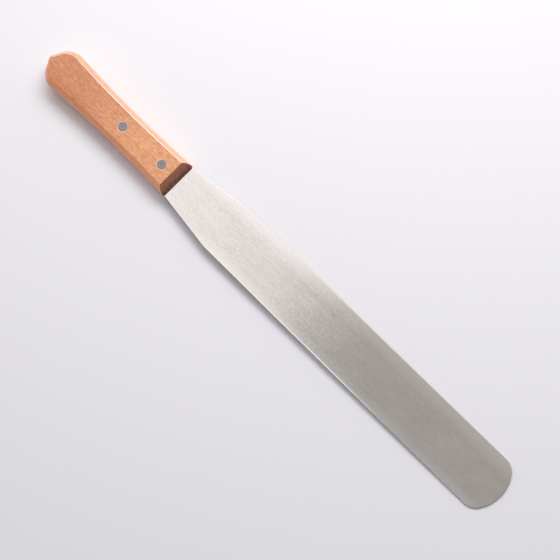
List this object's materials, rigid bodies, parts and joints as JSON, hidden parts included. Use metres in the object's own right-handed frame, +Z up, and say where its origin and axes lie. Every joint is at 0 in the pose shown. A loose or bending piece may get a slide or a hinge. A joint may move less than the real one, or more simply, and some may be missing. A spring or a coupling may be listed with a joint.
{
  "type": "icing spatula",
  "caption": "Straight icing spatula with a long flexible steel blade, round tip and a riveted wooden handle.",
  "frame": {"origin": "centre of the bounding box's bottom: on the handle's underside plane, half way along the tool", "axes": "+X along the tool towards the blade's tip, +Y across the blade, +Z up, square to the handle's flat faces"},
  "size_m": [0.437, 0.04, 0.014],
  "materials": {
    "blade_steel": "satin, ground lengthwise",
    "handle_wood": "sanded and thinly varnished hardwood, reddish tan",
    "brown_lacquer": "semi-matte dark brown lacquer film",
    "rivet_metal": "sanded flush, dull"
  },
  "bodies": {
    "root": {"blade": "blade_steel", "handle": "handle_wood", "front_lacquer_top": "brown_lacquer", "front_lacquer_bottom": "brown_lacquer", "rivet_front_male": "rivet_metal", "rivet_front_female": "rivet_metal", "rivet_rear_male": "rivet_metal", "rivet_rear_female": "rivet_metal"}
  },
  "joints": []
}
